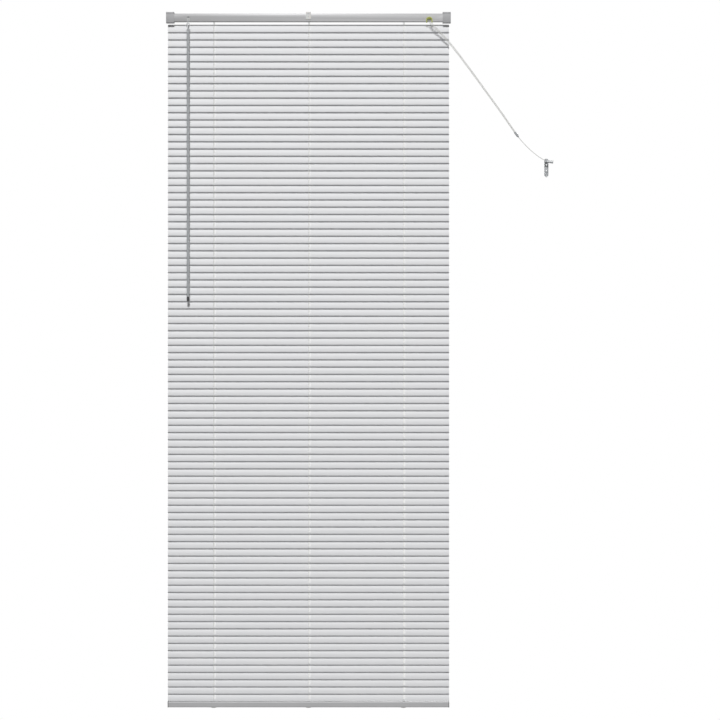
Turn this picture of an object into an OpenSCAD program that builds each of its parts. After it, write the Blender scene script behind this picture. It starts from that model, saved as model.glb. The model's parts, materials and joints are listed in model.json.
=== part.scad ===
// Venetian blind with aluminium slats, wand tilt and cord lift.
// Origin: middle of the plane that the end brackets are screwed to. Front is -Y, up is +Z.

/* [Overall] */
// Width over the two end brackets
blind_w = 900; // [700:10:1400]
// Height from the mounting plane to the lowest point
blind_h = 2200; // [1200:10:3000]

/* [Headrail] */
// Depth of the headrail, front to back
rail_d = 25; // [25:1:32]
// Height of the headrail
rail_h = 25; // [24:1:32]
// Sheet thickness of the headrail
rail_t = 0.7; // [0.5:0.1:1.2]
// Width of the lip folded in along each top edge
rail_lip = 3; // [2:0.5:4]
// Distance from the mounting plane down to the headrail
rail_drop = 5; // [3.5:0.5:8]

/* [Brackets] */
// Width of an end bracket
bracket_w = 25.5; // [25:0.5:36]
// Sheet thickness of the brackets
bracket_t = 1.2; // [1:0.1:2]
// Gap between the headrail and the sheet behind, beside and below it
bracket_gap = 1; // [0.8:0.1:2]
// Space under the headrail inside a bracket
bracket_foot = 2.6; // [2:0.1:6]
// Diameter of the screw holes
screw_hole_d = 4.5; // [3.5:0.1:5.5]
// Spacing of the two screw holes of a bracket
screw_pitch = 12; // [10:0.5:14]
// Diameter of the pin that a bracket door turns on
door_pin_d = 2; // [1.6:0.1:2.4]
// Width of the centre support
support_w = 16; // [12:1:24]
// Length of the front tab of the centre support
support_h = 24; // [18:1:28]

/* [Slats] */
// Width of a slat across its curve
slat_w = 25; // [20:1:30]
// Metal thickness of a slat
slat_t = 0.21; // [0.18:0.01:0.3]
// Height of the curve of a slat
slat_crown = 1.1; // [0.8:0.1:1.5]
// Wanted spacing of the slats
slat_pitch = 23; // [19:0.5:24]
// Angle of a closed slat from level
closed_tilt = 72; // [71:1:74]
// Amount that the slats are shorter than the width over the brackets
slat_inset = 10; // [6:1:20]
// Depth of the first slat's axis under the headrail
first_slat = 20.5; // [19:0.5:30]
// Length and width of the cord slots in a slat
slot_size = [5, 14]; // [3:1:16]

/* [Ladders and cords] */
// Distance of the outer ladders from the ends
ladder_inset = 150; // [100:10:250]
// Width of the ladder strings
string_t = 0.8; // [0.5:0.1:1]
// Diameter of the lift cords and pull cords
cord_d = 1.4; // [1:0.1:1.8]
// Diameter of the single cord below the joiner
tail_d = 1.8; // [1.4:0.1:2.4]
// Distance of a lift cord from the ladder beside it
cord_offset = 3; // [2.5:0.5:4]

/* [Tilter] */
// Distance of the tilter from the left end
tilter_inset = 70; // [50:5:110]
// Circumscribed diameter of the hexagonal tilt rod
rod_d = 5; // [4:0.5:6]
// Tip radius of the tilt wheel
wheel_r = 4.5; // [4:0.1:5]
// Width of the tilt wheel
wheel_w = 6; // [4:0.5:8]
// Radius over the thread of the worm
worm_r = 2.4; // [2:0.1:3]
// Radius of the worm's stem
stem_r = 1.6; // [1.3:0.1:1.8]
// Slope of the worm from level
worm_slope = 60; // [55:1:65]
// Distance of the eye of the stem below the headrail
eye_drop = 8; // [7:0.5:12]

/* [Wand] */
// Length of the wand with its tip
wand_l = 862; // [400:1:1000]
// Width of the wand over its corners
wand_d = 9.6; // [7:0.1:10]
// Length of the tip
wand_tip_l = 14; // [10:1:25]

/* [Cord lock] */
// Distance of the cord lock from the right end
lock_inset = 68; // [60:1:90]
// Diameter of the locking roller
roller_d = 7; // [6:0.5:8]

/* [Bottom rail] */
// Height of the bottom rail
bottom_h = 18; // [14:1:20]
// Wall of the bottom rail
bottom_t = 0.8; // [0.6:0.1:1.2]
// Gap between the closed last slat and the bottom rail
bottom_gap = 1.6; // [1:0.1:6]
// Height of the cord buttons under the bottom rail
button_h = 2; // [1:0.5:3]

/* [Hidden] */

// Clearances
running = 0.3;
tiny = 0.01;

// Levels and half widths
rail_top = -rail_drop;
rail_floor = rail_top - rail_h + rail_t;
rail_bottom = rail_top - rail_h;
rail_half = blind_w / 2 - bracket_t - bracket_gap;
cap_t = 1.6;
bracket_in_y = rail_d / 2 + bracket_gap;
bracket_y = bracket_in_y + bracket_t;
bracket_bottom = rail_bottom - bracket_foot - bracket_t;
knuckle_r = door_pin_d / 2 + 0.8;
button_top = -blind_h + button_h;
bottom_top = button_top + bottom_h;
bottom_cap_t = 2;
bottom_half = blind_w / 2 - slat_inset / 2 - bottom_cap_t;

// Slats, counted from the bottom: 1 to 12 turn one by one, those above are one node
moving_slats = 12;
first_z = rail_bottom - first_slat;
last_z = bottom_top + bottom_gap + slat_w / 2 * sin(closed_tilt);
slat_count = round((first_z - last_z) / slat_pitch) + 1;
pitch = (first_z - last_z) / (slat_count - 1);
slat_half = blind_w / 2 - slat_inset / 2;
slat_segments = 8;
slat_arc_r = (pow(slat_w / 2, 2) + pow(slat_crown, 2)) / (2 * slat_crown);
function slat_z(k) = last_z + (k - 1) * pitch;

// Ladders
ladder_x = [for (side = [-1, 0, 1]) side * (blind_w / 2 - ladder_inset)];
drum_r = slat_w * sin(closed_tilt) / (4 * closed_tilt * PI / 180);
ladder_y = drum_r;
edge_y = slat_w / 2 * cos(closed_tilt);
edge_z = slat_w / 2 * sin(closed_tilt);

// Tilt rod and drums
rod_z = rail_top - 10;
rod_ends = [-blind_w / 2 + tilter_inset - 12, ladder_x[2] + 14];
tilter_x = -blind_w / 2 + tilter_inset;
journal_r = 3.4;
flange_r = 6;
drum_groove = 6;
flange_t = 1.2;
journal_l = 3.4;
cheek_t = 2;
cheek_x = drum_groove / 2 + flange_t + running;
cradle_base = 1.5;
slot_half_y = ladder_y + 1.6;

// Worm and its stem, in the plane x = tilter_x
worm_gap = wheel_r + worm_r + running;
worm_y = -worm_gap * sin(worm_slope);
worm_z = rod_z + worm_gap * cos(worm_slope);
worm_half = 5;
eye_z = rail_bottom - eye_drop;
eye_reach = (worm_z - eye_z) / sin(worm_slope);
eye_y = worm_y - eye_reach * cos(worm_slope);
eye_r = 3.6;
eye_hole_r = 2.2;
eye_t = 1.6;
housing_half = 9;
housing_top = rod_z + 7;

// Wand
hook_wire = 1.5;
hook_in = [7, 9];
hook_top = eye_z + hook_wire / 2;
bar_z = hook_top - 1.5 * hook_wire - hook_in[1];
link_hole_r = hook_wire * 0.71 + 0.25;
link_r = link_hole_r + 1.3;
link_w = 3;
wand_top = bar_z - link_r - 1.4;

// Cord lock
lock_x = blind_w / 2 - lock_inset;
lock_half = 14;
lock_half_y = rail_d / 2 - rail_t - 1;
lock_top = rail_floor + 17.3;
lock_wall = 2;
roller_z = rail_floor + 9.8;
run_z = rail_floor + 3.7;
cord_lanes = [-2.5, 2.5, 0];
exit_x = [-4, 4, 0];
nose_w = 20;
nose_in = 12;
nose_depth = 4;
nose_web = 1;
nose_top = rail_bottom + 15;
nose_bottom = rail_bottom - 4;
exit_y = -rail_d / 2 - 1.5;

// Route of the three pull cords: distance right of the lock, depth, height, then the spread in X and Z
pull_route = [
    [0, 0, 0, 4, 0], [0, -2.5, -0.4, 4, 0], [0.6, -4.6, -2.4, 3.8, 0], [2, -5.4, -5.4, 3.4, 0.4],
    [5, -5.6, -10.4, 3, 0.8], [12, -5.4, -18.4, 2.6, 1.2], [28, -5, -34.4, 2, 1.4],
    [51, -4.5, -58.4, 1.8, 1.4], [82, -4, -95.4, 1.8, 1.4], [114, -3, -137.4, 1.8, 1.3],
    [146, -2, -180.4, 1.8, 1.3], [178, -1, -224.4, 1.7, 1.2], [210, 0, -268.4, 1.7, 1.2],
    [240, 1, -310.4, 1.6, 1.2], [258, 1.7, -336.6, 1.6, 1.2], [270, 2, -353.6, 1.6, 1.2]
];
// Route of the single cord, in the same frame, from the joiner to the cleat
tail_route = [
    [282, 2, -370], [286, 2.2, -375.2], [290, 2.5, -380], [295, 3, -385.6], [301, 3.6, -392],
    [307, 4.3, -398.2], [314, 5.2, -405], [321, 6.1, -411.4], [328, 7, -417.4],
    [335, 8, -423], [342, 9, -428.2], [349, 10, -433], [355, 10.6, -436.8], [360, 11, -439.6],
    [365, 11.2, -442]
];
route_start = [lock_x, exit_y, run_z];
joiner_top = route_start + [270, 2, -353.6];
joiner_end = route_start + [282, 2, -370];
joiner_axis = joiner_end - joiner_top;
joiner_l = norm(joiner_axis);
joiner_r = 3.8;
tube_sides = 8;

// Cleat on the wall
cleat_at = route_start + [365, 11.2, -442];
cleat_back = bracket_y;
cleat_w = 13;
cleat_h = 54;
cleat_t = 3;
cleat_hole_d = 4;
cleat_hole_gap = 18;

// Colours
steel_grey = "#b1b1b1";
slat_silver = "#dcdcdc";
plastic_white = "#f2f2f0";
cord_white = "#f4f4f2";
clear_grey = "#c9cccd";
nose_green = "#a9ad3c";
dark_grey = "#4a4a4c";

// Extrudes a (Y, Z) outline along X from x0 to x1
module along_x(x0, x1) {
    translate([x0, 0, 0]) rotate([90, 0, 90]) linear_extrude(x1 - x0) children();
}

module cylinder_x(x0, x1, r, sides = 48) {
    translate([x0, 0, 0]) rotate([0, 90, 0]) cylinder(h = x1 - x0, r = r, $fn = sides);
}

module box(low, high) {
    translate(low) cube(high - low);
}

// Rectangle from low to high with round corners of radius r
module round_rect(low, high, r) {
    translate([low[0] + r, low[1]]) square([high[0] - low[0] - 2 * r, high[1] - low[1]]);
    translate([low[0], low[1] + r]) square([high[0] - low[0], high[1] - low[1] - 2 * r]);
    for (x = [low[0] + r, high[0] - r], y = [low[1] + r, high[1] - r])
        translate([x, y]) circle(r = r, $fn = 32);
}

// Box round the stem, wide enough for it to turn in
module stem_way(from, to, half) {
    translate([tilter_x, worm_y, worm_z]) rotate([90 - worm_slope, 0, 0])
        box([-half, -half, -to], [half, half, -from]);
}

module on_worm_axis(t) {
    translate([tilter_x, worm_y, worm_z]) rotate([worm_slope - 90, 0, 0])
        translate([0, 0, -t]) children();
}

// ---- headrail and brackets

module headrail() {
    half = rail_d / 2;
    color(steel_grey) difference() {
        along_x(-rail_half, rail_half) difference() {
            translate([-half, rail_bottom]) square([rail_d, rail_h]);
            translate([-half + rail_t, rail_floor]) square([rail_d - 2 * rail_t, rail_h - 2 * rail_t]);
            translate([-half + rail_lip, rail_floor]) square([rail_d - 2 * rail_lip, rail_h]);
        }
        for (x = ladder_x)
            box([x - 3, -slot_half_y, rail_bottom - 1], [x + cord_offset + 2, slot_half_y, rail_floor + 1]);
        tilter_notch();
        lock_window(-half - 1);
    }
}

module tilter_notch() {
    box([tilter_x - 3.5, -rail_d / 2 - 1, rail_bottom - 1], [tilter_x + 3.5, -rail_d / 2 + 3.5, rod_z]);
}

module lock_window(front) {
    box([lock_x - nose_in / 2, front, rail_floor + 1.5], [lock_x + nose_in / 2, -4, rail_floor + 6]);
}

module headrail_caps() {
    inner_half = rail_d / 2 - rail_t;
    color(plastic_white) for (side = [0, 1]) mirror([side, 0, 0]) {
        along_x(rail_half, rail_half + bracket_gap)
            translate([-rail_d / 2, rail_bottom]) square([rail_d, rail_h]);
        along_x(rail_half - 8, rail_half) difference() {
            translate([-inner_half, rail_floor]) square([2 * inner_half, rail_h - 2 * rail_t]);
            translate([-inner_half + cap_t, rail_floor + cap_t])
                square([2 * (inner_half - cap_t), rail_h - 2 * (rail_t + cap_t)]);
        }
    }
}

// End bracket for the right end: a box of sheet, open towards the headrail and to the front
module bracket() {
    x_in = blind_w / 2 - bracket_w;
    x_out = blind_w / 2;
    lug = 2.4;
    color(steel_grey) difference() {
        union() {
            box([x_in, -bracket_in_y, -bracket_t], [x_out, bracket_y, 0]);
            box([x_in, bracket_in_y, bracket_bottom], [x_out, bracket_y, 0]);
            box([x_in, -bracket_in_y, bracket_bottom], [x_out, bracket_y, bracket_bottom + bracket_t]);
            box([x_out - bracket_t, -bracket_in_y, bracket_bottom], [x_out, bracket_y, 0]);
            for (x = [x_in + 2, x_out - bracket_t - lug - 2], y = [-rail_d / 2 + 1, rail_d / 2 - 1 - lug]) {
                box([x, y, rail_top], [x + lug, y + lug, -bracket_t]);
                box([x, y, bracket_bottom + bracket_t], [x + lug, y + lug, rail_bottom]);
            }
            for (x = [x_in, x_out - bracket_t])
                box([x, -bracket_in_y - 2.6, -5.2], [x + bracket_t, -bracket_in_y, 0]);
        }
        for (x = bracket_hole_x()) {
            translate([x, 0, -bracket_t - 1]) cylinder(h = bracket_t + 2, d = screw_hole_d, $fn = 32);
            translate([x, bracket_in_y - 1, rail_bottom + rail_h / 2])
                rotate([-90, 0, 0]) cylinder(h = bracket_t + 2, d = screw_hole_d, $fn = 32);
        }
        translate([0, door_axis()[0], door_axis()[1]])
            cylinder_x(x_in - 1, x_out + 1, door_pin_d / 2, 32);
    }
}

function bracket_hole_x() = [for (s = [-1, 1]) blind_w / 2 - (bracket_w + bracket_t) / 2 + s * screw_pitch / 2];
function door_axis() = [-bracket_in_y - knuckle_r + 0.5, -bracket_t - knuckle_r + 0.4];

module bracket_right() {
    bracket();
}

module bracket_left() {
    mirror([1, 0, 0]) bracket();
}

// Door of the right end bracket: hangs from its pin in front of the headrail
module bracket_door() {
    x_in = blind_w / 2 - bracket_w + bracket_t + running;
    x_out = blind_w / 2 - bracket_t - running;
    plate_y = door_axis()[0];
    color(steel_grey) difference() {
        union() {
            translate([0, door_axis()[0], door_axis()[1]]) cylinder_x(x_in, x_out, knuckle_r, 32);
            box([x_in, plate_y - bracket_t / 2, bracket_bottom], [x_out, plate_y + bracket_t / 2, door_axis()[1]]);
            box([x_in - bracket_t - running, plate_y - bracket_t / 2, bracket_bottom],
                [x_out + bracket_t + running, plate_y + bracket_t / 2, -6]);
        }
        translate([0, door_axis()[0], door_axis()[1]])
            cylinder_x(x_in - 1, x_out + 1, door_pin_d / 2 + 0.15, 32);
    }
}

module bracket_door_right() {
    bracket_door();
}

module bracket_door_left() {
    mirror([1, 0, 0]) bracket_door();
}

module door_pins() {
    color(steel_grey) for (side = [0, 1]) mirror([side, 0, 0])
        translate([0, door_axis()[0], door_axis()[1]])
            cylinder_x(blind_w / 2 - bracket_w, blind_w / 2, door_pin_d / 2, 32);
}

// Clip that holds the middle of the headrail, with a keyhole in its front tab
module centre_support() {
    t = 1.5;
    half = support_w / 2;
    front = -rail_d / 2 - t;
    keyhole_z = -7.5;
    color(plastic_white) difference() {
        union() {
            box([-half, front, -t], [half, rail_d / 2 + t, 0]);
            box([-half, -rail_d / 2, rail_top], [half, -rail_d / 2 + 5, -t]);
            box([-half, rail_d / 2 - 5, rail_top], [half, rail_d / 2, -t]);
            box([-half, rail_d / 2, -support_h], [half, rail_d / 2 + t, -t]);
            translate([0, front + t, 0]) rotate([90, 0, 0]) linear_extrude(t)
                round_rect([-half, -support_h], [half, 0], 2.5);
        }
        translate([0, front - 1, keyhole_z]) rotate([-90, 0, 0])
            cylinder(h = t + 2, d = 4.4, $fn = 32);
        box([-1.1, front - 1, keyhole_z - 10], [1.1, front + t + 1, keyhole_z]);
        translate([0, 0, -t - 1]) cylinder(h = t + 2, d = screw_hole_d, $fn = 32);
    }
}

// ---- tilt rod, drums and worm

module tilt_rod() {
    color(steel_grey) translate([0, 0, rod_z]) cylinder_x(rod_ends[0], rod_ends[1], rod_d / 2, 6);
}

// Drum that the two strings of a ladder hang from
module tilt_drums() {
    flange_x = drum_groove / 2 + flange_t;
    color(plastic_white) for (x = ladder_x) translate([x, 0, rod_z]) difference() {
        union() {
            cylinder_x(-flange_x - journal_l, flange_x + journal_l, journal_r);
            cylinder_x(-drum_groove / 2, drum_groove / 2, ladder_y - string_t / 2 - running);
            for (side = [-1, 1]) translate([side * (flange_x - flange_t / 2), 0, 0])
                cylinder_x(-flange_t / 2, flange_t / 2, flange_r);
        }
        cylinder_x(-20, 20, rod_d / 2, 6);
    }
}

module tilt_wheel() {
    teeth = 15;
    root_r = wheel_r - 0.9;
    hub_r = root_r - 0.6;
    color(plastic_white) translate([tilter_x, 0, rod_z]) difference() {
        union() {
            along_x(-wheel_w / 2, wheel_w / 2) {
                circle(r = root_r, $fn = 48);
                for (i = [0:teeth - 1]) rotate(i * 360 / teeth)
                    polygon([[root_r - 0.3, -0.5], [wheel_r, -0.25], [wheel_r, 0.25], [root_r - 0.3, 0.5]]);
            }
            cylinder_x(-wheel_w / 2 - 4, wheel_w / 2 + 4, hub_r);
        }
        cylinder_x(-20, 20, rod_d / 2, 6);
    }
}

// Stand on the headrail floor that a drum turns in
module drum_cradles() {
    half_x = cheek_x + cheek_t;
    half_y = rail_d / 2 - rail_t - 1;
    leg_y = flange_r + 2;
    color(plastic_white) for (x = ladder_x) translate([x, 0, 0]) difference() {
        union() {
            box([-half_x, -half_y, rail_floor], [half_x, half_y, rail_floor + cradle_base]);
            for (side = [-1, 1])
                box([min(side * cheek_x, side * half_x), -leg_y, rail_floor],
                    [max(side * cheek_x, side * half_x), leg_y, rod_z + journal_r + 2]);
        }
        translate([0, 0, rod_z]) cylinder_x(-half_x - 1, half_x + 1, journal_r + running);
        box([-half_x - 1, -4.6, rail_floor + cradle_base], [half_x + 1, 4.6, run_z + 2.2]);
        box([-3, -slot_half_y, rail_floor - 1], [cord_offset + 2, slot_half_y, rail_floor + cradle_base + 1]);
    }
}

module tilter_housing() {
    half_y = rail_d / 2 - rail_t;
    hub_r = wheel_r - 1.5;
    color(plastic_white) difference() {
        box([tilter_x - housing_half, -half_y, rail_floor], [tilter_x + housing_half, half_y, housing_top]);
        translate([tilter_x, 0, rod_z]) {
            cylinder_x(-wheel_w / 2 - running, wheel_w / 2 + running, wheel_r + 0.7);
            cylinder_x(-housing_half - 1, housing_half + 1, hub_r + running);
        }
        on_worm_axis(worm_half + 1) cylinder(h = 2 * worm_half + 2 + 8, r = worm_r + 0.4, $fn = 48);
        on_worm_axis(eye_reach) cylinder(h = eye_reach, r = stem_r + running, $fn = 48);
        tilter_notch();
    }
}

// Two-start worm, its stem and the eye that the wand hooks into
module worm() {
    turns = 1.5;
    color(clear_grey) {
        on_worm_axis(worm_half) linear_extrude(2 * worm_half, twist = 360 * turns, slices = 36)
            scale([1, (stem_r + 0.1) / worm_r]) circle(r = worm_r, $fn = 20);
        on_worm_axis(eye_reach - eye_r + 0.4)
            cylinder(h = eye_reach - eye_r + 0.4 - worm_half, r = stem_r, $fn = 32);
        translate([tilter_x, eye_y, eye_z]) difference() {
            cylinder_x(-eye_t / 2, eye_t / 2, eye_r);
            cylinder_x(-eye_t, eye_t, eye_hole_r);
        }
    }
}

// ---- wand

// Wire loop through the eye, which the wand hangs from
module wand_hook() {
    half = hook_in[0] / 2;
    w = hook_wire;
    color(clear_grey) translate([tilter_x, eye_y, 0]) difference() {
        box([-half - w, -w / 2, hook_top - 2 * w - hook_in[1]], [half + w, w / 2, hook_top]);
        box([-half, -w, hook_top - w - hook_in[1]], [half, w, hook_top - w]);
    }
}

// Hexagonal wand with a ring at its top, round the lower bar of the loop
module wand() {
    half = link_w / 2;
    color(clear_grey) translate([tilter_x, eye_y, 0]) difference() {
        union() {
            translate([0, 0, wand_top - wand_l + wand_tip_l])
                cylinder(h = wand_l - wand_tip_l, d = wand_d, $fn = 6);
            translate([0, 0, bar_z]) cylinder_x(-half, half, link_r);
            box([-half, -half, wand_top - 1], [half, half, bar_z - link_hole_r]);
        }
        translate([0, 0, bar_z]) cylinder_x(-link_w, link_w, link_hole_r);
    }
}

module wand_tip() {
    tip_r = wand_d / 2 * cos(30);
    color(dark_grey) translate([tilter_x, eye_y, wand_top - wand_l]) {
        translate([0, 0, 4]) cylinder(h = wand_tip_l - 4, r = tip_r, $fn = 48);
        cylinder(h = 4, r1 = tip_r - 1.2, r2 = tip_r, $fn = 48);
    }
}

// ---- cord lock

module cord_lock_housing() {
    hy = lock_half_y;
    color(plastic_white) difference() {
        box([lock_x - lock_half, -hy, rail_floor], [lock_x + lock_half, hy, lock_top]);
        box([lock_x - lock_half + lock_wall, -hy + lock_wall, rail_floor + 1.5],
            [lock_x + lock_half - lock_wall, hy - lock_wall, lock_top + 1]);
        translate([lock_x, -hy - 1, roller_z]) rotate([-90, 0, 0])
            cylinder(h = 2 * hy + 2, r = 1.5 + running, $fn = 32);
        box([lock_x - lock_half - 1, -4.6, rail_floor + 1.5], [lock_x, 4.6, run_z + 2.2]);
        lock_window(-hy - 1);
    }
}

module cord_lock_roller() {
    hy = lock_half_y;
    body_l = 2 * (hy - lock_wall - 0.5);
    color(steel_grey) translate([lock_x, 0, roller_z]) rotate([90, 0, 0]) {
        translate([0, 0, -body_l / 2]) cylinder(h = body_l, d = roller_d, $fn = 48);
        translate([0, 0, -hy + 0.4]) cylinder(h = 2 * (hy - 0.4), r = 1.5, $fn = 32);
    }
}

// Arch on the front of the headrail that the pull cords come out of
module cord_lock_nose() {
    half = nose_w / 2;
    in_half = nose_in / 2 + 0.6;
    color(nose_green) translate([lock_x, -rail_d / 2, 0]) rotate([90, 0, 0]) linear_extrude(nose_depth)
        difference() {
            union() {
                translate([0, nose_top - half]) circle(r = half, $fn = 64);
                translate([-half, nose_bottom]) square([nose_w, nose_top - half - nose_bottom]);
            }
            translate([0, nose_top - half]) circle(r = in_half, $fn = 64);
            translate([-in_half, nose_bottom - 1]) square([2 * in_half, nose_top - half - nose_bottom + 1]);
        }
    color(nose_green) translate([lock_x, -rail_d / 2, 0]) rotate([90, 0, 0]) linear_extrude(nose_web)
        intersection() {
            translate([0, nose_top - half]) circle(r = in_half + 0.5, $fn = 64);
            translate([-half, rail_floor + 6]) square([nose_w, half]);
        }
}

// ---- cords

// Front and rear string of each ladder, from its drum into the bottom rail
module ladder_strings() {
    half = string_t / 2;
    color(cord_white) for (x = ladder_x, y = [-ladder_y, ladder_y])
        box([x - half, y - half, bottom_top - 4], [x + half, y + half, rod_z]);
}

// Knots between a string and the edge of each slat of the upper group
module knots(side) {
    low = edge_y + running / 2;
    high = ladder_y - string_t / 2;
    color(cord_white) for (x = ladder_x, k = [moving_slats:slat_count])
        box([x - string_t, min(side * low, side * high), slat_z(k) + side * edge_z - string_t],
            [x + string_t, max(side * low, side * high), slat_z(k) + side * edge_z + string_t]);
}

module ladder_knots_front() {
    knots(-1);
}

module ladder_knots_rear() {
    knots(1);
}

// Rungs under the slat that has its axis at height z
module rungs(z) {
    top = -0.3;
    bottom = -0.8;
    front = -slat_w / 2 - 0.2;
    // The rear end stops short of the rear string and under its knot
    rear = (ladder_y - string_t / 2 - running / 2 + bottom * sin(closed_tilt)) / cos(closed_tilt);
    color(cord_white) translate([0, 0, z]) rotate([closed_tilt, 0, 0]) for (x = ladder_x)
        box([x - string_t / 2, front, bottom], [x + string_t / 2, rear, top]);
}

module rungs_upper() {
    for (k = [moving_slats:slat_count]) rungs(slat_z(k));
}

// Lift cords: up from the bottom rail, then along the headrail to the cord lock
module lift_cords() {
    r = cord_d / 2;
    color(cord_white) for (i = [0:2]) {
        x = ladder_x[i] + cord_offset;
        lane = cord_lanes[i];
        end_x = lock_x + exit_x[i];
        box([x - r, -r, bottom_top - 8], [x + r, r, run_z + r]);
        box([x - r, min(lane, 0) - r, run_z - r], [x + r, max(lane, 0) + r, run_z + r]);
        box([x - r, lane - r, run_z - r], [end_x + r, lane + r, run_z + r]);
        box([end_x - r, exit_y, run_z - r], [end_x + r, lane + r, run_z + r]);
    }
}

function spread_point(p, k) = route_start + [p[0] + k * p[3], p[1], p[2] + k * p[4]];
function unit(v) = v / norm(v);
function heading(path, i) = unit(path[min(i + 1, len(path) - 1)] - path[max(i - 1, 0)]);

// Tube of radius r swept along a path of points
module tube(path, r) {
    last = len(path) - 1;
    rings = [for (i = [0:last]) let (
        forward = heading(path, i),
        side = unit(cross(forward, [0.8, 0, 0.6])),
        up = cross(side, forward)
    ) for (j = [0:tube_sides - 1]) let (a = 360 * j / tube_sides)
        path[i] + r * (cos(a) * side + sin(a) * up)];
    walls = [for (i = [0:last - 1], j = [0:tube_sides - 1]) let (
        a = i * tube_sides, b = a + tube_sides, n = (j + 1) % tube_sides
    ) [a + j, a + n, b + n, b + j]];
    ends = [[for (j = [tube_sides - 1:-1:0]) j], [for (j = [0:tube_sides - 1]) last * tube_sides + j]];
    polyhedron(rings, concat(walls, ends));
}

module pull_cord(k) {
    color(cord_white) tube([for (p = pull_route) spread_point(p, k)], cord_d / 2);
}

module pull_cord_left() {
    pull_cord(-1);
}

module pull_cord_middle() {
    pull_cord(0);
}

module pull_cord_right() {
    pull_cord(1);
}

module tail_cord() {
    color(cord_white) tube([for (p = tail_route) route_start + p], tail_d / 2);
}

// Turns its children so that +Z points along v, and moves them to p
module aimed(p, v) {
    translate(p) rotate([0, acos(v[2] / norm(v)), atan2(v[1], v[0])]) children();
}

module cord_joiner() {
    color(clear_grey) aimed(joiner_top, joiner_axis) rotate_extrude($fn = 48)
        polygon([[0, 0], [joiner_r - 1, 0], [joiner_r, 2], [joiner_r, joiner_l - 6],
            [tail_d / 2 + 1, joiner_l], [0, joiner_l]]);
}

// Wall cleat with a post and a horn that the cord ends in
module cord_cleat() {
    x0 = cleat_at[0];
    top = cleat_at[2] + 4;
    front = cleat_back - cleat_t;
    mid = x0 + cleat_w / 2;
    horn = [27, 0, -2];
    horn_drop = 4;
    holes = [for (s = [0, 1]) top - 18 - s * cleat_hole_gap];
    color(clear_grey) difference() {
        union() {
            translate([0, cleat_back, 0]) rotate([90, 0, 0]) linear_extrude(cleat_t)
                round_rect([x0, top - cleat_h], [x0 + cleat_w, top], 3);
            translate([mid, cleat_back, top - cleat_h - 3]) rotate([90, 0, 0])
                linear_extrude(cleat_t) polygon([[-2, 0], [2, 0], [4, 5], [-4, 5]]);
            for (z = holes) translate([mid, front + tiny, z]) rotate([90, 0, 0])
                cylinder(h = 1.6, d = 10, $fn = 48);
            box([x0 + 2, cleat_at[1] - 3, top - 8], [x0 + 9, front + tiny, top]);
            aimed(cleat_at - [0, 0, horn_drop], horn) cylinder(h = norm(horn), r1 = 3, r2 = 5, $fn = 48);
        }
        for (z = holes) translate([mid, front - 3, z]) rotate([-90, 0, 0])
            cylinder(h = cleat_t + 4, d = cleat_hole_d, $fn = 32);
    }
}

// ---- bottom rail

module bottom_rail() {
    half_y = rail_d / 2;
    color(steel_grey) difference() {
        along_x(-bottom_half, bottom_half) difference() {
            round_rect([-half_y, button_top], [half_y, bottom_top], 3);
            round_rect([-half_y + bottom_t, button_top + bottom_t], [half_y - bottom_t, bottom_top - bottom_t],
                3 - bottom_t);
        }
        for (x = ladder_x) {
            box([x - 2, -slot_half_y, bottom_top - 2], [x + cord_offset + 2, slot_half_y, bottom_top + 1]);
            translate([x, 0, button_top - 1]) cylinder(h = 3, r = 5 + running / 2, $fn = 48);
        }
    }
}

module bottom_rail_caps() {
    half_y = rail_d / 2;
    color(dark_grey) for (side = [0, 1]) mirror([side, 0, 0]) {
        along_x(bottom_half, bottom_half + bottom_cap_t) round_rect([-half_y - 0.5, button_top - 0.5],
            [half_y + 0.5, bottom_top + 0.5], 3.5);
        along_x(bottom_half - 10, bottom_half)
            round_rect([-half_y + bottom_t, button_top + bottom_t], [half_y - bottom_t, bottom_top - bottom_t],
                3 - bottom_t);
    }
}

// Button under each ladder that covers the knots of its cords
module cord_buttons() {
    color(plastic_white) for (x = ladder_x) translate([x, 0, 0]) {
        translate([0, 0, button_top]) cylinder(h = 4, r = 5, $fn = 48);
        translate([0, 0, -blind_h + 0.6]) cylinder(h = button_h - 0.6, r = 8, $fn = 48);
        translate([0, 0, -blind_h]) cylinder(h = 0.6, r1 = 7.4, r2 = 8, $fn = 48);
    }
}

// ---- slats

function slat_line(offset) = [for (i = [0:slat_segments]) let (
    a = asin(slat_w / 2 / slat_arc_r) * (2 * i / slat_segments - 1)
) [slat_arc_r * sin(a), slat_arc_r * cos(a) - slat_arc_r + slat_crown + offset]];

// Closed slat with its axis at height z: front edge down, outer curve to the room
module slat(z) {
    lower = slat_line(-slat_t / 2);
    upper = slat_line(slat_t / 2);
    color(slat_silver) translate([0, 0, z]) rotate([closed_tilt, 0, 0]) difference() {
        along_x(-slat_half, slat_half)
            polygon(concat(lower, [for (i = [slat_segments:-1:0]) upper[i]]));
        for (x = ladder_x) translate([x + cord_offset, 0, 0]) cube([slot_size[0], slot_size[1], 8], center = true);
    }
}

module slats_upper() {
    for (k = [moving_slats + 1:slat_count]) slat(slat_z(k));
}

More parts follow.
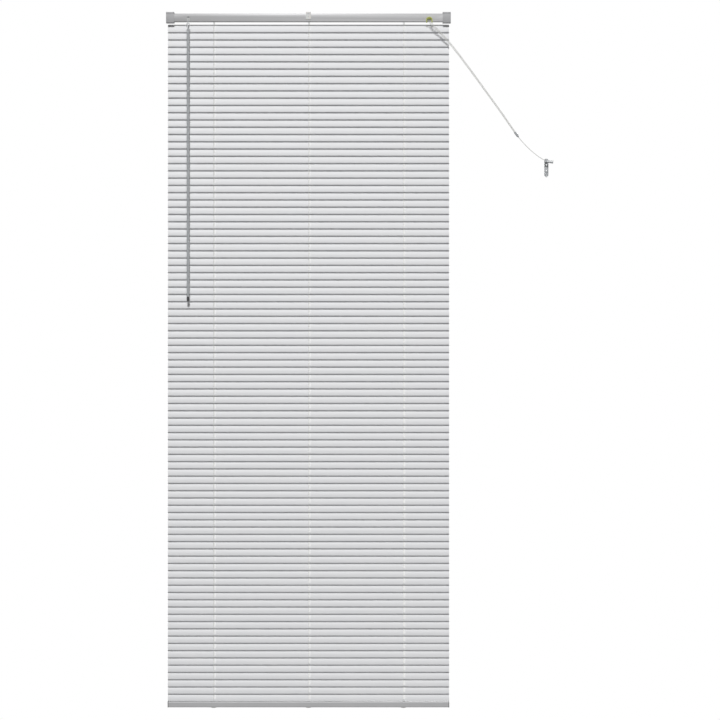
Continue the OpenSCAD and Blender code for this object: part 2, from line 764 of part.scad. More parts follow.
headrail();
headrail_caps();
bracket_left();
bracket_right();
bracket_door_left();
bracket_door_right();
door_pins();
centre_support();
tilt_rod();
tilt_drums();
tilt_wheel();
drum_cradles();
tilter_housing();
worm();
wand_hook();
wand();
wand_tip();
cord_lock_housing();
cord_lock_roller();
cord_lock_nose();
ladder_strings();
ladder_knots_front();
ladder_knots_rear();
lift_cords();
pull_cord_left();
pull_cord_middle();
pull_cord_right();
tail_cord();
cord_joiner();
cord_cleat();
bottom_rail();
bottom_rail_caps();
cord_buttons();
slats_upper();
rungs_upper();
slat(slat_z(12));  // slat_12
slat(slat_z(11));  // slat_11
slat(slat_z(10));  // slat_10
slat(slat_z(9));  // slat_09
slat(slat_z(8));  // slat_08
slat(slat_z(7));  // slat_07
slat(slat_z(6));  // slat_06
slat(slat_z(5));  // slat_05
slat(slat_z(4));  // slat_04
slat(slat_z(3));  // slat_03
slat(slat_z(2));  // slat_02
slat(slat_z(1));  // slat_01
rungs(slat_z(11));  // rungs_11
rungs(slat_z(10));  // rungs_10
rungs(slat_z(9));  // rungs_09
rungs(slat_z(8));  // rungs_08
rungs(slat_z(7));  // rungs_07
rungs(slat_z(6));  // rungs_06
rungs(slat_z(5));  // rungs_05
rungs(slat_z(4));  // rungs_04
rungs(slat_z(3));  // rungs_03
rungs(slat_z(2));  // rungs_02
rungs(slat_z(1));  // rungs_01
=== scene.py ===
# Venetian blind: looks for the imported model. Lengths are in metres.
import json
import math

import bpy
from mathutils import Matrix, Vector

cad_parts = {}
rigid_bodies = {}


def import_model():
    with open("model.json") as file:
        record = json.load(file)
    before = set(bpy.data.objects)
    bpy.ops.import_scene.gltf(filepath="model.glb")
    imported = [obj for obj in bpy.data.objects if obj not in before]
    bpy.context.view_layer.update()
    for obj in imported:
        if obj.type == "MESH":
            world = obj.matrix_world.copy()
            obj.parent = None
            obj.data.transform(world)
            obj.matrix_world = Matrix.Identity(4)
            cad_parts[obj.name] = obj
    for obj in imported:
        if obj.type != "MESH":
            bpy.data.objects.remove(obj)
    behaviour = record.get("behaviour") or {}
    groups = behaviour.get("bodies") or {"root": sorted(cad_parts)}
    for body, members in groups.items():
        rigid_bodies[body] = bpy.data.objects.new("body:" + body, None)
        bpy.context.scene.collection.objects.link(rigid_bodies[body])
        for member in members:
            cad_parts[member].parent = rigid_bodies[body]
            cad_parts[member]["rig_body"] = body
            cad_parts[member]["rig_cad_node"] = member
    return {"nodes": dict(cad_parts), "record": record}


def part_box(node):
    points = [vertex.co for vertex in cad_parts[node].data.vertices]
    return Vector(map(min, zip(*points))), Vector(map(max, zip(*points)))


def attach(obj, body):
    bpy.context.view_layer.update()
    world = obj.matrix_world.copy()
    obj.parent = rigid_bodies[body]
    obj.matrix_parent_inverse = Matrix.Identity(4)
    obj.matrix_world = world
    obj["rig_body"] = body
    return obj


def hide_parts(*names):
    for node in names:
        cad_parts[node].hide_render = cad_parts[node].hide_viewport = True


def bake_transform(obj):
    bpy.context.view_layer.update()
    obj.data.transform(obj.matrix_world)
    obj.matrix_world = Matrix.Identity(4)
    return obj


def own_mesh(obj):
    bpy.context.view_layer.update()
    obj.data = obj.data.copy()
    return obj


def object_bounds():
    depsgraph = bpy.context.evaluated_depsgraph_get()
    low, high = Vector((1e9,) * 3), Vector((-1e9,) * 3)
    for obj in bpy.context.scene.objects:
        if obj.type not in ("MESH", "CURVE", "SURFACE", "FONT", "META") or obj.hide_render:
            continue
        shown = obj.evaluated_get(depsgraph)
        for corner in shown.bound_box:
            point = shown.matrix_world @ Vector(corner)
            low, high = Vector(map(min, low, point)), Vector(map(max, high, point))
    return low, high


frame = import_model()
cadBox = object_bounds()
mm = 0.001
nodes = frame["nodes"]
bodyOfNode = {node: body for body, names in frame["record"]["behaviour"]["bodies"].items() for node in names}


def deselectAll():
    for obj in bpy.context.scene.objects:
        obj.select_set(False)


def pick(obj):
    deselectAll()
    obj.select_set(True)
    bpy.context.view_layer.objects.active = obj


def named(name):
    obj = bpy.context.view_layer.objects.active
    obj.name = name
    obj.data.name = name
    return obj


def applyPlace(obj):
    pick(obj)
    bpy.ops.object.transform_apply(location=True, rotation=True, scale=True)


def applyModifier(obj, kind, **settings):
    pick(obj)
    modifier = obj.modifiers.new(kind.title(), kind)
    for key, value in settings.items():
        setattr(modifier, key, value)
    bpy.ops.object.modifier_apply(modifier=modifier.name)


def smooth(obj, degrees):
    pick(obj)
    bpy.ops.object.shade_smooth_by_angle(angle=math.radians(degrees))


def shiftedCopy(obj, name, offset):
    twin = obj.copy()
    twin.data = obj.data.copy()
    twin.name = name
    twin.data.name = name
    twin.data.transform(Matrix.Translation(offset))
    bpy.context.collection.objects.link(twin)
    return twin


def joined(name, parts):
    deselectAll()
    for part in parts:
        part.select_set(True)
    bpy.context.view_layer.objects.active = parts[0]
    bpy.ops.object.join()
    return named(name)


# finishes, each at its real grain size
def linear(hexColour):
    channels = [int(hexColour[i:i + 2], 16) / 255 for i in (1, 3, 5)]
    return [c / 12.92 if c <= 0.04045 else ((c + 0.055) / 1.055) ** 2.4 for c in channels] + [1]


def addNode(tree, kind, inputs=None, **settings):
    node = tree.nodes.new(kind)
    for key, value in settings.items():
        setattr(node, key, value)
    for key, value in (inputs or {}).items():
        if isinstance(value, bpy.types.NodeSocket):
            tree.links.new(value, node.inputs[key])
        else:
            node.inputs[key].default_value = value
    return node


def startMaterial(name):
    material = bpy.data.materials.new(name)
    material.use_nodes = True
    tree = material.node_tree
    shader = tree.nodes["Principled BSDF"]
    place = addNode(tree, "ShaderNodeTexCoord").outputs["Object"]
    return material, tree, shader, place


def setShader(shader, **values):
    for key, value in values.items():
        shader.inputs[key.replace("_", " ")].default_value = value


noiseDetail = {"cloud": 3.0, "grain": 2.0}


def speckled(tree, place, shader, finish):
    # two close tones and a drifting gloss, at one real size
    noise = addNode(tree, "ShaderNodeTexNoise",
                    {"Vector": place, "Scale": 1 / finish["cloud"], "Detail": noiseDetail["cloud"]})
    tone = addNode(tree, "ShaderNodeMix",
                   {0: noise.outputs["Fac"], 6: linear(finish["dark"]), 7: linear(finish["light"])},
                   data_type="RGBA")
    tree.links.new(tone.outputs[2], shader.inputs["Base Color"])
    low, high = finish["roughness"]
    gloss = addNode(tree, "ShaderNodeMapRange",
                    {"Value": noise.outputs["Fac"], "To Min": low, "To Max": high})
    tree.links.new(gloss.outputs["Result"], shader.inputs["Roughness"])


def grain(tree, place, shader, finish):
    # a fine bump: its real size, its strength and its height
    fine = addNode(tree, "ShaderNodeTexNoise",
                   {"Vector": place, "Scale": 1 / finish["grain"], "Detail": noiseDetail["grain"]})
    bump = addNode(tree, "ShaderNodeBump",
                   {"Height": fine.outputs["Fac"], "Strength": finish["relief"], "Distance": finish["depth"]})
    tree.links.new(bump.outputs["Normal"], shader.inputs["Normal"])


slatFinish = {"light": "#EEEEEF", "dark": "#E4E5E7", "cloud": 90 * mm, "roughness": (0.46, 0.54),
              "metal": 0.05, "grain": 0.35 * mm, "relief": 0.12, "depth": 0.02 * mm, "stretch": (0.01, 1, 1)}


def slatEnamel():
    # coil-coated aluminium: a pale satin silver, with faint rolling lines along the strip
    material, tree, shader, place = startMaterial("CoilCoatedAluminium")
    setShader(shader, Metallic=slatFinish["metal"])
    speckled(tree, place, shader, slatFinish)
    stretched = addNode(tree, "ShaderNodeMapping", {"Vector": place, "Scale": slatFinish["stretch"]})
    grain(tree, stretched.outputs["Vector"], shader, slatFinish)
    return material


railFinish = {"light": "#CECECF", "dark": "#C8C8C9", "cloud": 60 * mm, "roughness": (0.42, 0.5),
              "metal": 0.15, "grain": 0.9 * mm, "relief": 0.15, "depth": 0.03 * mm}


def railEnamel():
    # stove-enamelled steel strip: an even grey with a slight orange peel
    material, tree, shader, place = startMaterial("StoveEnamel")
    setShader(shader, Metallic=railFinish["metal"])
    speckled(tree, place, shader, railFinish)
    grain(tree, place, shader, railFinish)
    return material


bracketFinish = {"light": "#CBCBCC", "dark": "#BEBEC0", "cloud": 8 * mm, "roughness": (0.4, 0.52),
                 "metal": 0.1, "grain": 0.7 * mm, "relief": 0.25, "depth": 0.05 * mm}


def bracketEnamel():
    # powder-coated pressed steel, a little darker and coarser than the rail
    material, tree, shader, place = startMaterial("PowderCoat")
    setShader(shader, Metallic=bracketFinish["metal"])
    speckled(tree, place, shader, bracketFinish)
    grain(tree, place, shader, bracketFinish)
    return material


zincFinish = {"light": "#D2D4D6", "dark": "#B9BCC0", "cloud": 3 * mm, "roughness": (0.28, 0.42),
              "metal": 1.0, "grain": 0.4 * mm, "relief": 0.1, "depth": 0.02 * mm}


def zincSteel():
    # bright zinc plate: bare metal with small spangles
    material, tree, shader, place = startMaterial("ZincPlatedSteel")
    setShader(shader, Metallic=zincFinish["metal"])
    speckled(tree, place, shader, zincFinish)
    grain(tree, place, shader, zincFinish)
    return material


nylonFinish = {"light": "#F4F4F1", "dark": "#ECECE8", "cloud": 12 * mm, "roughness": (0.36, 0.46),
               "ior": 1.53, "scatter": 0.05, "scatterDepth": 1 * mm,
               "grain": 0.3 * mm, "relief": 0.15, "depth": 0.02 * mm}


def whiteNylon():
    # injection-moulded nylon: off-white, half matt, with a fine spark-eroded grain
    material, tree, shader, place = startMaterial("MouldedNylon")
    setShader(shader, IOR=nylonFinish["ior"], Subsurface_Weight=nylonFinish["scatter"],
              Subsurface_Scale=nylonFinish["scatterDepth"])
    speckled(tree, place, shader, nylonFinish)
    grain(tree, place, shader, nylonFinish)
    return material


acrylicFinish = {"light": "#D2D5D7", "dark": "#C2C5C8", "cloud": 20 * mm, "roughness": (0.12, 0.24),
                 "ior": 1.49, "clear": 0.1, "grain": 2 * mm, "relief": 0.1, "depth": 0.05 * mm}


def clearAcrylic():
    # extruded acrylic: glossy, with a pale grey cast, and only a little light comes through
    material, tree, shader, place = startMaterial("ClearAcrylic")
    setShader(shader, IOR=acrylicFinish["ior"], Transmission_Weight=acrylicFinish["clear"])
    speckled(tree, place, shader, acrylicFinish)
    grain(tree, place, shader, acrylicFinish)
    return material


absFinish = {"light": "#59595B", "dark": "#4B4B4D", "cloud": 6 * mm, "roughness": (0.42, 0.55),
             "ior": 1.54, "grain": 0.35 * mm, "relief": 0.2, "depth": 0.03 * mm}


def darkPlastic():
    # moulded ABS in dark grey with an eroded grain
    material, tree, shader, place = startMaterial("DarkAbs")
    setShader(shader, IOR=absFinish["ior"])
    speckled(tree, place, shader, absFinish)
    grain(tree, place, shader, absFinish)
    return material


oliveFinish = {"light": "#DCE27E", "dark": "#C8CF62", "cloud": 6 * mm, "roughness": (0.15, 0.28),
               "ior": 1.58, "clear": 0.12, "grain": 1 * mm, "relief": 0.1, "depth": 0.03 * mm}


def olivePlastic():
    # tinted polycarbonate: glossy yellow-green, a little light comes through its thin wall
    material, tree, shader, place = startMaterial("TintedPolycarbonate")
    setShader(shader, IOR=oliveFinish["ior"], Transmission_Weight=oliveFinish["clear"])
    speckled(tree, place, shader, oliveFinish)
    grain(tree, place, shader, oliveFinish)
    return material


braidFinish = {"light": "#F6F6F3", "dark": "#DEDED9", "pick": 1.1 * mm, "turn": 0.7, "wavesPerPick": 0.31,
               "roughness": (0.85, 0.65), "ior": 1.5, "sheen": 0.25, "relief": 0.4, "depth": 0.1 * mm}


def cordBraid():
    # braided polyester: crossing strands, drawn at their real pick length
    material, tree, shader, place = startMaterial("BraidedPolyester")
    setShader(shader, IOR=braidFinish["ior"], Sheen_Weight=braidFinish["sheen"])
    waves = []
    for turn in (braidFinish["turn"], -braidFinish["turn"]):
        turned = addNode(tree, "ShaderNodeMapping", {"Vector": place, "Rotation": (turn, turn, turn)})
        waves.append(addNode(tree, "ShaderNodeTexWave",
                             {"Vector": turned.outputs["Vector"],
                              "Scale": braidFinish["wavesPerPick"] / braidFinish["pick"]}))
    height = addNode(tree, "ShaderNodeMath", {0: waves[0].outputs["Fac"], 1: waves[1].outputs["Fac"]},
                     operation="MULTIPLY")
    tone = addNode(tree, "ShaderNodeMix",
                   {0: height.outputs[0], 6: linear(braidFinish["dark"]), 7: linear(braidFinish["light"])},
                   data_type="RGBA")
    tree.links.new(tone.outputs[2], shader.inputs["Base Color"])
    low, high = braidFinish["roughness"]
    gloss = addNode(tree, "ShaderNodeMapRange", {"Value": height.outputs[0], "To Min": low, "To Max": high})
    tree.links.new(gloss.outputs["Result"], shader.inputs["Roughness"])
    bump = addNode(tree, "ShaderNodeBump", {"Height": height.outputs[0], "Strength": braidFinish["relief"],
                                            "Distance": braidFinish["depth"]})
    tree.links.new(bump.outputs["Normal"], shader.inputs["Normal"])
    return material


finishes = {
    "slat_enamel": slatEnamel(), "headrail_paint": railEnamel(), "bracket_steel": bracketEnamel(),
    "plain_steel": zincSteel(), "white_plastic": whiteNylon(), "clear_plastic": clearAcrylic(),
    "dark_plastic": darkPlastic(), "olive_plastic": olivePlastic(), "cord": cordBraid(),
}
slotOfNode = {part["node"]: part["material_slot"] for part in frame["record"]["subparts"]}


def dress(obj, slotName):
    obj.data.materials.clear()
    obj.data.materials.append(finishes[slotName])


def standFor(obj, body, slotName, *replaced):
    dress(obj, slotName)
    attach(obj, body)
    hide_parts(*replaced)


print("materials made")


# camera, square on to the front
view = {"x": 0.163, "z": -1.10, "distance": 10.0, "lens": 158, "sensor": 36, "far": 60}
bpy.ops.object.camera_add(location=(view["x"], -view["distance"], view["z"]), rotation=(math.pi / 2, 0, 0))
camera = bpy.context.object
camera.data.lens = view["lens"]
camera.data.sensor_width = view["sensor"]
camera.data.clip_end = view["far"]
bpy.context.scene.camera = camera


softening = {"merge": 0.002 * mm, "flat": 1, "sharp": 35, "segments": 2}


def softened(node, width):
    # a worked-out shape with its edges rounded by a width in millimetres
    source = nodes[node]
    obj = source.copy()
    obj.data = source.data.copy()
    obj.parent = None
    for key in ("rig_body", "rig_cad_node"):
        if key in obj:
            del obj[key]
    words = node.split("_")
    obj.name = obj.data.name = words[0] + "".join(w.title() for w in words[1:]) + "Rounded"
    bpy.context.collection.objects.link(obj)
    pick(obj)
    bpy.ops.object.mode_set(mode="EDIT")
    bpy.ops.mesh.select_all(action="SELECT")
    bpy.ops.mesh.remove_doubles(threshold=softening["merge"])
    bpy.ops.mesh.dissolve_limited(angle_limit=math.radians(softening["flat"]))
    bpy.ops.object.mode_set(mode="OBJECT")
    applyModifier(obj, "BEVEL", width=width * mm, segments=softening["segments"], limit_method="ANGLE",
                  angle_limit=math.radians(softening["sharp"]), use_clamp_overlap=True)
    applyModifier(obj, "TRIANGULATE")
    smooth(obj, softening["sharp"])
    return obj


# cords, with the joiner and cleat they end in
# pull cord points in millimetres: right of the lock, depth, height, then the spread of the outer two in X and Z
pullRoute = [
    (0, 0, 0, 4, 0), (0, -2.5, -0.4, 4, 0), (0.6, -4.6, -2.4, 3.8, 0), (2, -5.4, -5.4, 3.4, 0.4),
    (5, -5.6, -10.4, 3, 0.8), (12, -5.4, -18.4, 2.6, 1.2), (28, -5, -34.4, 2, 1.4),
    (51, -4.5, -58.4, 1.8, 1.4), (82, -4, -95.4, 1.8, 1.4), (114, -3, -137.4, 1.8, 1.3),
    (146, -2, -180.4, 1.8, 1.3), (178, -1, -224.4, 1.7, 1.2), (210, 0, -268.4, 1.7, 1.2),
    (240, 1, -310.4, 1.6, 1.2), (258, 1.7, -336.6, 1.6, 1.2), (270, 2, -353.6, 1.6, 1.2),
]
tailRoute = [
    (282, 2, -370), (286, 2.2, -375.2), (290, 2.5, -380), (295, 3, -385.6), (301, 3.6, -392),
    (307, 4.3, -398.2), (314, 5.2, -405), (321, 6.1, -411.4), (328, 7, -417.4), (335, 8, -423),
    (342, 9, -428.2), (349, 10, -433), (355, 10.6, -436.8), (360, 11, -439.6), (365, 11.2, -442),
]
cordSizes = {"pull": 1.4 * mm, "tail": 1.8 * mm, "roundness": 3, "steps": 6}
mouldedEdge = 0.6
lockLow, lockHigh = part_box("cord_lock_roller")
liftLow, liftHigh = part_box("lift_cords")
routeStart = Vector(((lockLow.x + lockHigh.x) / 2, liftLow.y, liftHigh.z - cordSizes["pull"] / 2))


def makeCord(name, points, diameter):
    curve = bpy.data.curves.new(name, "CURVE")
    curve.dimensions = "3D"
    curve.bevel_depth = diameter / 2
    curve.bevel_resolution = cordSizes["roundness"]
    curve.resolution_u = cordSizes["steps"]
    curve.use_fill_caps = True
    spline = curve.splines.new("BEZIER")
    spline.bezier_points.add(len(points) - 1)
    for knot, point in zip(spline.bezier_points, points):
        knot.co = point
        knot.handle_left_type = "AUTO"
        knot.handle_right_type = "AUTO"
    obj = bpy.data.objects.new(name, curve)
    bpy.context.collection.objects.link(obj)
    bpy.context.view_layer.update()
    return obj, spline.calc_length()


joiner = softened("cord_joiner", mouldedEdge)
standFor(joiner, "root", "clear_plastic", "cord_joiner")
cleat = softened("cord_cleat", mouldedEdge)
standFor(cleat, "root", "clear_plastic", "cord_cleat")
for side, part in ((-1, "left"), (0, "middle"), (1, "right")):
    points = [routeStart + Vector((x + side * sx, y, z + side * sz)) * mm for x, y, z, sx, sz in pullRoute]
    pullCord, length = makeCord("pullCord" + part.title(), points, cordSizes["pull"])
    standFor(pullCord, "root", "cord", "pull_cord_" + part)
    print("pull cord", part, round(length, 4))

points = [routeStart + Vector(p) * mm for p in tailRoute]
tailCord, length = makeCord("tailCord", points, cordSizes["tail"])
standFor(tailCord, "root", "cord", "tail_cord")
print("tail cord", round(length, 4))


# ladders, and slats from one blank, copied down them
ladder = {"string": 0.9 * mm, "inset": 0.4 * mm, "stringSides": 8, "rung": 0.6 * mm, "under": 0.55 * mm,
          "rungSides": 6, "liftOffset": 3 * mm, "liftSides": 10, "roundAngle": 50}
slat = {"width": 25 * mm, "crown": 1.1 * mm, "thickness": 0.21 * mm, "tilt": 72.0, "single": 12,
        "slotWide": 5 * mm, "slotLong": 14 * mm, "corner": 2.5 * mm, "cornerPull": 0.12,
        "curveLines": (0.28, 0.56, 0.8), "edgeZone": 0.1 * mm, "roundAngle": 25}
slatLow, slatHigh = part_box("slat_01")
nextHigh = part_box("slat_02")[1]
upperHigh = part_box("slats_upper")[1]
stringLow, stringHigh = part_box("ladder_strings")
slatHalf = slatHigh.x
pitch = nextHigh.z - slatHigh.z
tilt = math.radians(slat["tilt"])
halfWidth = slat["width"] / 2
ladderX = [stringLow.x + ladder["inset"], 0, stringHigh.x - ladder["inset"]]
firstAxis = slatLow.z + halfWidth * math.sin(tilt) + slat["thickness"] / 2 * math.cos(tilt)
upperCount = round((upperHigh.z - slatHigh.z) / pitch) + 1 - slat["single"]


def cutAt(x=None, y=None):
    bpy.ops.mesh.select_all(action="SELECT")
    if x is not None:
        bpy.ops.mesh.bisect(plane_co=(x, 0, 0), plane_no=(1, 0, 0))
    else:
        bpy.ops.mesh.bisect(plane_co=(0, y, 0), plane_no=(0, 1, 0))


def makeSlat():
    bpy.ops.mesh.primitive_plane_add(size=1)
    obj = named("slatBlank")
    obj.scale = (2 * slatHalf, slat["width"], 1)
    applyPlace(obj)
    bpy.ops.object.mode_set(mode="EDIT")
    slots = [x + ladder["liftOffset"] for x in ladderX]
    for x in slots:
        for side in (-1, 1):
            cutAt(x=x + side * slat["slotWide"] / 2)
    for side in (-1, 1):
        cutAt(x=side * (slatHalf - slat["corner"]))
    for share in slat["curveLines"]:
        for side in (-1, 1):
            cutAt(y=side * share * halfWidth)
    cutAt(y=0)
    bpy.ops.mesh.select_mode(type="FACE")
    bpy.ops.mesh.select_all(action="DESELECT")
    bpy.ops.object.mode_set(mode="OBJECT")
    for vertex in obj.data.vertices:
        atEnd = abs(vertex.co.x) > slatHalf - slat["edgeZone"]
        if atEnd and abs(vertex.co.y) > halfWidth - slat["edgeZone"]:
            vertex.co.y -= math.copysign(slat["cornerPull"] * halfWidth, vertex.co.y)
        vertex.co.z = slat["crown"] * (1 - (vertex.co.y / halfWidth) ** 2)
    for face in obj.data.polygons:
        inSlot = any(abs(face.center.x - x) < slat["slotWide"] / 2 for x in slots)
        face.select = inSlot and abs(face.center.y) < slat["slotLong"] / 2
    bpy.ops.object.mode_set(mode="EDIT")
    bpy.ops.mesh.delete(type="FACE")
    bpy.ops.mesh.select_mode(type="VERT")
    bpy.ops.object.mode_set(mode="OBJECT")
    applyModifier(obj, "SOLIDIFY", thickness=slat["thickness"], offset=0)
    obj.rotation_euler.x = tilt
    obj.location.z = firstAxis
    applyPlace(obj)
    smooth(obj, slat["roundAngle"])
    return obj


def followLadders(obj):
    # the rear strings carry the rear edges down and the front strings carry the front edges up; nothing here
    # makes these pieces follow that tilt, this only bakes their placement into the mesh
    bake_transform(obj)


firstSlat = makeSlat()
allSlats = slat["single"] + upperCount
slatCopies = [shiftedCopy(firstSlat, "slat", (0, 0, k * pitch)) for k in range(1, allSlats)]
singleSlats = [firstSlat] + slatCopies[:slat["single"] - 1]
upper = slatCopies[slat["single"] - 1:]
for k, obj in enumerate(singleSlats, 1):
    obj.name = obj.data.name = "slat%02d" % k
    standFor(obj, "slat_%02d" % k, "slat_enamel", "slat_%02d" % k)
upperSlats = joined("upperSlats", upper)
dress(upperSlats, "slat_enamel")
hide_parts("slats_upper")
followLadders(upperSlats)
print("slats made", allSlats)


# rungs, ladder strings and lift cords
def makeRod(name, low, high, diameter, sides):
    low, high = Vector(low), Vector(high)
    along = high - low
    bpy.ops.mesh.primitive_cylinder_add(vertices=sides, radius=diameter / 2, depth=along.length,
                                        location=(low + high) / 2,
                                        rotation=along.to_track_quat("Z", "Y").to_euler())
    obj = named(name)
    applyPlace(obj)
    smooth(obj, ladder["roundAngle"])
    return obj


def makeRungs():
    rods = []
    for x in ladderX:
        low = Vector((x, -halfWidth, -ladder["under"]))
        high = Vector((x, halfWidth, -ladder["under"]))
        rods.append(makeRod("rung", low, high, ladder["rung"], ladder["rungSides"]))
    obj = joined("rungs", rods)
    obj.rotation_euler.x = tilt
    obj.location.z = firstAxis
    applyPlace(obj)
    return obj


firstRungs = makeRungs()
rungCopies = [shiftedCopy(firstRungs, "rungs", (0, 0, k * pitch)) for k in range(1, allSlats)]
singleRungs = [firstRungs] + rungCopies[:slat["single"] - 2]
upperRungSet = rungCopies[slat["single"] - 2:]
for k, obj in enumerate(singleRungs, 1):
    obj.name = obj.data.name = "rungs%02d" % k
    standFor(obj, "slat_%02d" % k, "cord", "rungs_%02d" % k)
upperRungs = joined("upperRungs", upperRungSet)
dress(upperRungs, "cord")
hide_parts("rungs_upper")
followLadders(upperRungs)


def foldWithLift(obj):
    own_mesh(obj)


stringY = (stringHigh.y - stringLow.y) / 2 - ladder["inset"]
strings = [makeRod("string", (x, y, stringLow.z), (x, y, stringHigh.z), ladder["string"],
                   ladder["stringSides"])
           for x in ladderX for y in (-stringY, stringY)]
ladderStrings = joined("ladderStrings", strings)
standFor(ladderStrings, "root", "cord", "ladder_strings")
foldWithLift(ladderStrings)

# lift cords: each has its own lane along the headrail, and its own place at the lock
liftRun = {"lanes": [-2.5 * mm, 2.5 * mm, 0], "exits": [-4 * mm, 4 * mm, 0]}
lifts = []
for x, lane, shift in zip(ladderX, liftRun["lanes"], liftRun["exits"]):
    down = x + ladder["liftOffset"]
    runZ = routeStart.z
    stops = [(down, 0, liftLow.z), (down, 0, runZ), (down, lane, runZ),
             (routeStart.x + shift, lane, runZ), (routeStart.x + shift, routeStart.y, runZ)]
    for low, high in zip(stops, stops[1:]):
        if (Vector(high) - Vector(low)).length > 0:
            lifts.append(makeRod("liftRun", low, high, cordSizes["pull"], ladder["liftSides"]))
liftCords = joined("liftCords", lifts)
standFor(liftCords, "root", "cord", "lift_cords")
foldWithLift(liftCords)
print("ladders and lift cords made")


# wand: a hexagonal rod, twisted as it was drawn
wandShape = {"sides": 6, "width": 9.2 * mm, "twist": 17 * mm, "step": 4 * mm, "neck": 10 * mm, "slim": 0.35,
             "edge": 0.5 * mm, "sharp": 40, "roundAngle": 35,
             "ring": 1.95 * mm, "wire": 0.62 * mm, "ringSteps": (32, 10),
             "shank": 1.5 * mm, "shankLong": 2.2, "shankSides": 20, "sunk": 0.6 * mm}


def makeWandRing(centre, top):
    # a ring round the loop's lower bar, with the short shank that it grows from
    bar = top - wandShape["ring"] - wandShape["wire"]
    bpy.ops.mesh.primitive_torus_add(location=(centre.x, centre.y, bar), rotation=(0, math.pi / 2, 0),
                                     major_segments=wandShape["ringSteps"][0],
                                     minor_segments=wandShape["ringSteps"][1],
                                     major_radius=wandShape["ring"], minor_radius=wandShape["wire"])
    ring = named("wandRing")
    applyPlace(ring)
    smooth(ring, ladder["roundAngle"])
    foot = bar - wandShape["shankLong"] * wandShape["ring"]
    shank = makeRod("wandShank", (centre.x, centre.y, foot), (centre.x, centre.y, bar - wandShape["ring"]),
                    2 * wandShape["shank"], wandShape["shankSides"])
    return joined("wandTop", [ring, shank]), foot


def makeWand():
    low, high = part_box("wand")
    centre = (low + high) / 2
    link, foot = makeWandRing(centre, high.z)
    high = Vector((high.x, high.y, foot + wandShape["sunk"]))
    centre.z = (low.z + high.z) / 2
    rings = int((high.z - low.z) / wandShape["step"])
    bpy.ops.mesh.primitive_cylinder_add(vertices=wandShape["sides"], radius=wandShape["width"] / 2,
                                        depth=high.z - low.z,
                                        location=centre, end_fill_type="NGON")
    obj = named("twistedWand")
    applyPlace(obj)
    bpy.ops.object.mode_set(mode="EDIT")
    for i in range(1, rings):
        bpy.ops.mesh.select_all(action="SELECT")
        bpy.ops.mesh.bisect(plane_co=(0, 0, low.z + i * (high.z - low.z) / rings), plane_no=(0, 0, 1))
    bpy.ops.object.mode_set(mode="OBJECT")
    for vertex in obj.data.vertices:
        down = high.z - vertex.co.z
        angle = down / wandShape["twist"] * math.pi / 3
        slim = 1 - wandShape["slim"] * max(0, 1 - down / wandShape["neck"]) ** 2
        arm = Vector((vertex.co.x - centre.x, vertex.co.y - centre.y, 0)) * slim
        arm.rotate(Matrix.Rotation(angle, 3, "Z"))
        vertex.co.x = centre.x + arm.x
        vertex.co.y = centre.y + arm.y
    applyModifier(obj, "BEVEL", width=wandShape["edge"], segments=softening["segments"], limit_method="ANGLE",
                  angle_limit=math.radians(wandShape["sharp"]))
    smooth(obj, wandShape["roundAngle"])
    return joined("twistedWand", [obj, link])


wand = makeWand()
standFor(wand, "wand", "clear_plastic", "wand")
print("wand made")


# each piece keeps its worked-out shape and gets the rounding that pressing or moulding leaves, in millimetres
edgeRounding = {
    "headrail": 0.3, "headrail_caps": 0.3, "bracket_left": 0.35, "bracket_right": 0.35,
    "bracket_door_left": 0.35, "bracket_door_right": 0.35, "centre_support": 0.4, "cord_lock_nose": 0.9,
    "cord_lock_housing": 0.4, "tilter_housing": 0.4, "drum_cradles": 0.4, "tilt_drums": 0.3,
    "bottom_rail_caps": 0.5, "cord_buttons": 0.3, "wand_hook": 0.3, "wand_tip": 0.5, "cord_lock_roller": 0.3,
}

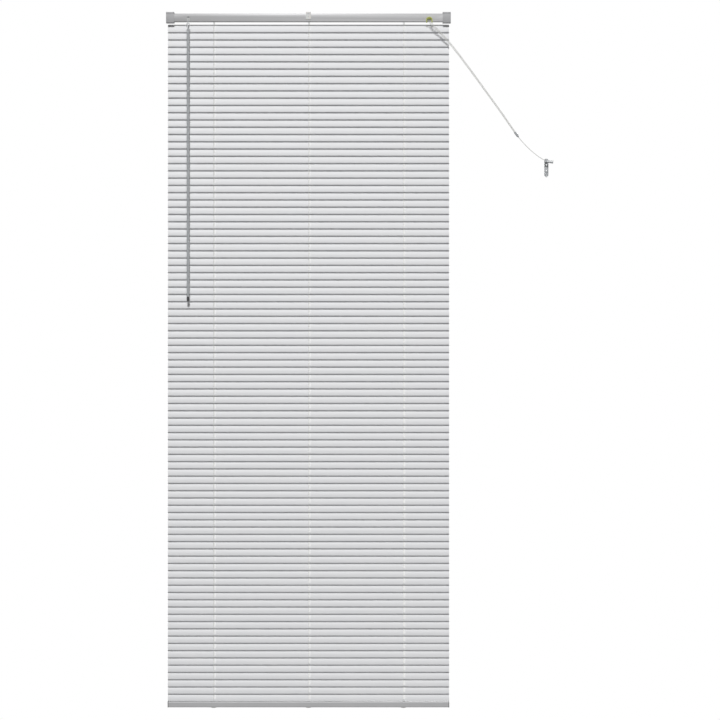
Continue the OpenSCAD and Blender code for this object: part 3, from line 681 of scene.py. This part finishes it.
for node, width in edgeRounding.items():
    standFor(softened(node, width), bodyOfNode[node], slotOfNode[node], node)
for node, obj in nodes.items():
    obj.data.materials.clear()
    obj.data.materials.append(finishes[slotOfNode[node]])
print("hardware made", len(edgeRounding))


# floor and lights, the floor far enough down to stay out of the front view
ground = {"side": 8, "below": 1.0, "light": "#D4D4D4", "dark": "#CFCFCF", "cloud": 0.5,
          "roughness": (0.8, 0.9)}
bpy.ops.mesh.primitive_plane_add(size=ground["side"], location=(0, 0, cadBox[0][2] - ground["below"]))
floor = named("studioFloor")
paint, tree, shader, place = startMaterial("PaleFloor")
speckled(tree, place, shader, ground)
floor.data.materials.append(paint)

# the backdrop is white where the camera sees it, and gives the blind only a faint fill
backdrop = {"fillTint": (0.95, 0.97, 1, 1), "fill": 0.06, "white": (1, 1, 1, 1), "bright": 1.0}
world = bpy.data.worlds.new("Studio")
world.use_nodes = True
tree = world.node_tree
tree.nodes.clear()
fill = addNode(tree, "ShaderNodeBackground", {"Color": backdrop["fillTint"], "Strength": backdrop["fill"]})
white = addNode(tree, "ShaderNodeBackground", {"Color": backdrop["white"], "Strength": backdrop["bright"]})
ray = addNode(tree, "ShaderNodeLightPath")
mixed = addNode(tree, "ShaderNodeMixShader",
                {0: ray.outputs["Is Camera Ray"], 1: fill.outputs[0], 2: white.outputs[0]})
addNode(tree, "ShaderNodeOutputWorld", {"Surface": mixed.outputs[0]})
bpy.context.scene.world = world
bpy.context.scene.view_settings.view_transform = "Standard"


lamps = {
    "keyLight": {"place": (-1, -20, 17), "size": 3.5, "power": 4300},
    "fillLight": {"place": (1.5, -12, 1.5), "size": 5.0, "power": 150},
    "backLight": {"place": (2.5, 12, 2.5), "size": 5.0, "power": 450},
}
lampTarget = (0, 0, -1.1)


def areaLight(name, place, size, power):
    bpy.ops.object.light_add(type="AREA", location=place)
    lamp = bpy.context.object
    lamp.name = name
    lamp.data.shape = "DISK"
    lamp.data.size = size
    lamp.data.energy = power
    lamp.rotation_euler = (Vector(lampTarget) - Vector(place)).to_track_quat("-Z", "Y").to_euler()


for name, lamp in lamps.items():
    areaLight(name, **lamp)
print("lights made")
